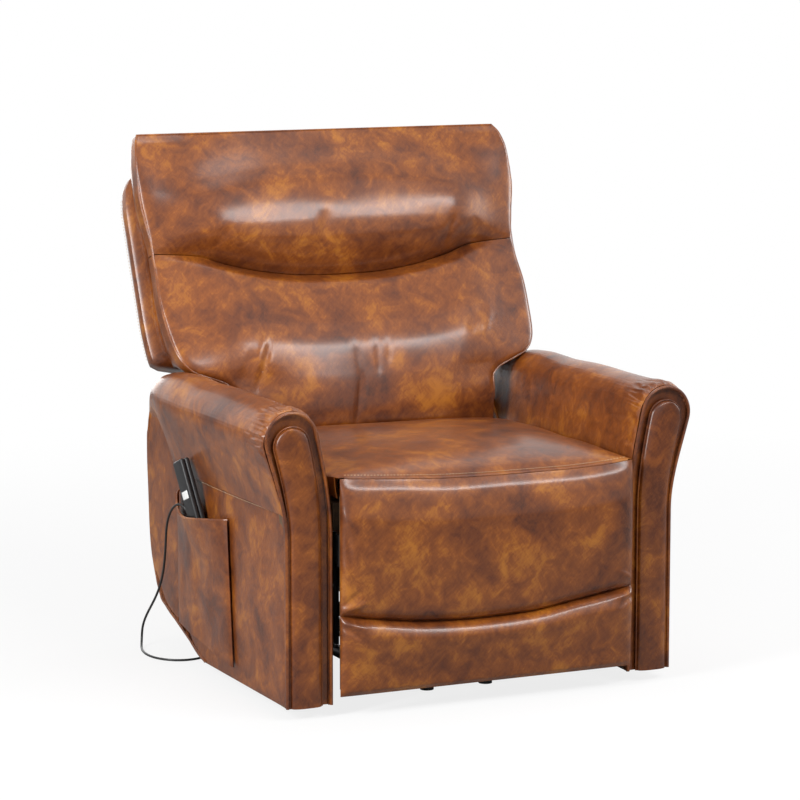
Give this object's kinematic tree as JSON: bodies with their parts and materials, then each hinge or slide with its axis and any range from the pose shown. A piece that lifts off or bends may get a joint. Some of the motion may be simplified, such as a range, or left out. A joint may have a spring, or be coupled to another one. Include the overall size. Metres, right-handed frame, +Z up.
{
  "type": "lift recliner chair",
  "caption": "Powered lift recliner armchair with rolled arms, reclining back, fold-out footrest and corded handset in a side pocket, on a lift base.",
  "frame": {"origin": "on the floor under the middle of the chair", "axes": "+X to the right seen from the front, +Y backwards, +Z up; the chair faces -Y"},
  "size_m": [0.9154, 0.9437, 1.0413],
  "materials": {
    "rubber_foot": "matte",
    "bright_steel": "satin",
    "black_steel": "satin",
    "black_plastic": "matte",
    "white_plastic": "gloss",
    "black_rubber": "satin",
    "plywood": "matte",
    "webbing": "matte",
    "leather_cushion": "satin",
    "leather": "satin"
  },
  "bodies": {
    "base": {"base_feet": "rubber_foot", "base_hoop": "black_steel", "base_motor_bracket": "black_steel", "base_pivot_pins": "bright_steel", "base_rear_tube": "black_steel", "base_side_rails": "black_steel", "base_uprights": "black_steel"},
    "lift_frame": {"lift_arms": "black_steel", "lift_cross_tube": "black_steel", "lift_crank": "black_steel"},
    "guide_links": {"guide_links": "black_steel"},
    "lift_motor": {"lift_motor": "black_plastic"},
    "lift_rod": {"lift_rod": "bright_steel"},
    "recline_motor": {"recline_motor": "black_plastic"},
    "recline_rod": {"recline_rod": "bright_steel"},
    "back": {"back_frame": "plywood", "back_gussets": "leather", "back_hinge_plates": "black_steel", "back_shell": "leather", "headrest_cushion": "leather_cushion", "lumbar_cushion": "leather_cushion", "recline_crank": "black_steel"},
    "footrest_rear_links": {"footrest_rear_links": "black_steel"},
    "footrest_front_links": {"footrest_front_links": "black_steel"},
    "footrest": {"footrest_board": "plywood", "footrest_brackets": "black_steel", "footrest_lower_pad": "leather_cushion", "footrest_upper_pad": "leather_cushion"},
    "handset_rocker": {"handset_rocker": "white_plastic"},
    "carriage": {"carriage_cross_tubes": "black_steel", "carriage_pivot_pins": "bright_steel", "carriage_rails": "black_steel", "control_box": "black_plastic", "control_box_socket": "black_plastic", "handset_back_shell": "black_plastic", "handset_cord": "black_rubber", "handset_front_shell": "black_plastic", "handset_pocket": "leather", "handset_strain_relief": "black_rubber", "left_arm_facing": "leather", "left_arm_facing_pad": "leather", "left_arm_frame": "plywood", "left_arm_inner_panel": "leather", "left_arm_roll": "leather_cushion", "left_arm_side_panel": "leather", "left_arm_welt": "leather", "mains_inlet": "black_plastic", "rear_skirt": "leather", "recline_motor_bracket": "black_steel", "right_arm_facing": "leather", "right_arm_facing_pad": "leather", "right_arm_frame": "plywood", "right_arm_inner_panel": "leather", "right_arm_roll": "leather_cushion", "right_arm_side_panel": "leather", "right_arm_welt": "leather", "seat_cushion": "leather_cushion", "seat_frame": "plywood", "seat_webbing": "webbing", "side_mounts": "black_steel"}
  },
  "joints": [
    {"name": "lift_tilt", "type": "hinge", "parent": "lift_frame", "child": "carriage", "pos_m": [0, -0.325, 0.14], "axis": [1, 0, 0], "range_deg": [0, 58]},
    {"name": "lift_arm_swing", "type": "hinge", "parent": "base", "child": "lift_frame", "pos_m": [0, 0.075, 0.09], "axis": [-1, 0, 0], "range_deg": [0, 40]},
    {"name": "guide_link_swing", "type": "hinge", "parent": "base", "child": "guide_links", "pos_m": [0, 0.02, 0.225], "axis": [-1, 0, 0], "range_deg": [0, 42.54]},
    {"name": "lift_motor_swing", "type": "hinge", "parent": "base", "child": "lift_motor", "pos_m": [0, -0.285, 0.062], "axis": [-1, 0, 0], "range_deg": [0, 8.19]},
    {"name": "lift_rod_slide", "type": "slide", "parent": "lift_motor", "child": "lift_rod", "axis": [0, 0.8745, 0.485], "range_m": [0, 0.0898]},
    {"name": "back_recline", "type": "hinge", "parent": "carriage", "child": "back", "pos_m": [0, 0.235, 0.42], "axis": [-1, 0, 0], "range_deg": [0, 36]},
    {"name": "recline_motor_swing", "type": "hinge", "parent": "carriage", "child": "recline_motor", "pos_m": [0, -0.27, 0.308], "axis": [1, 0, 0], "range_deg": [0, 0.2981]},
    {"name": "recline_rod_slide", "type": "slide", "parent": "recline_motor", "child": "recline_rod", "axis": [0, -0.9995, -0.0318], "range_m": [0, 0.06152]},
    {"name": "footrest_swing", "type": "hinge", "parent": "carriage", "child": "footrest_rear_links", "pos_m": [0, -0.245, 0.33], "axis": [-1, 0, 0], "range_deg": [0, 68]},
    {"name": "footrest_unfold", "type": "hinge", "parent": "footrest_rear_links", "child": "footrest_front_links", "pos_m": [0, -0.325, 0.13], "axis": [1, 0, 0], "range_deg": [0, 133]},
    {"name": "footrest_tilt", "type": "hinge", "parent": "footrest_front_links", "child": "footrest", "pos_m": [0, -0.375, 0.33], "axis": [-1, 0, 0], "range_deg": [0, 147]},
    {"name": "handset_rocker_tilt", "type": "hinge", "parent": "carriage", "child": "handset_rocker", "pos_m": [-0.4409, 0.00092, 0.36246], "axis": [0, 0.9397, -0.342], "range_deg": [-4, 4], "stiffness_Nm_per_rad": 0.4}
  ],
  "couplings": [
    {"joint": "lift_arm_swing", "follows": "lift_tilt", "ratio": 0.68966},
    {"joint": "guide_link_swing", "follows": "lift_tilt", "ratio": 0.73346},
    {"joint": "lift_motor_swing", "follows": "lift_tilt", "ratio": 0.14126},
    {"joint": "lift_rod_slide", "follows": "lift_tilt", "m_per_rad": 0.088713},
    {"joint": "recline_motor_swing", "follows": "back_recline", "ratio": 0.0082806},
    {"joint": "recline_rod_slide", "follows": "back_recline", "m_per_rad": 0.097904},
    {"joint": "footrest_swing", "follows": "back_recline", "ratio": 1.8889},
    {"joint": "footrest_unfold", "follows": "back_recline", "ratio": 3.6944},
    {"joint": "footrest_tilt", "follows": "back_recline", "ratio": 4.0833}
  ]
}
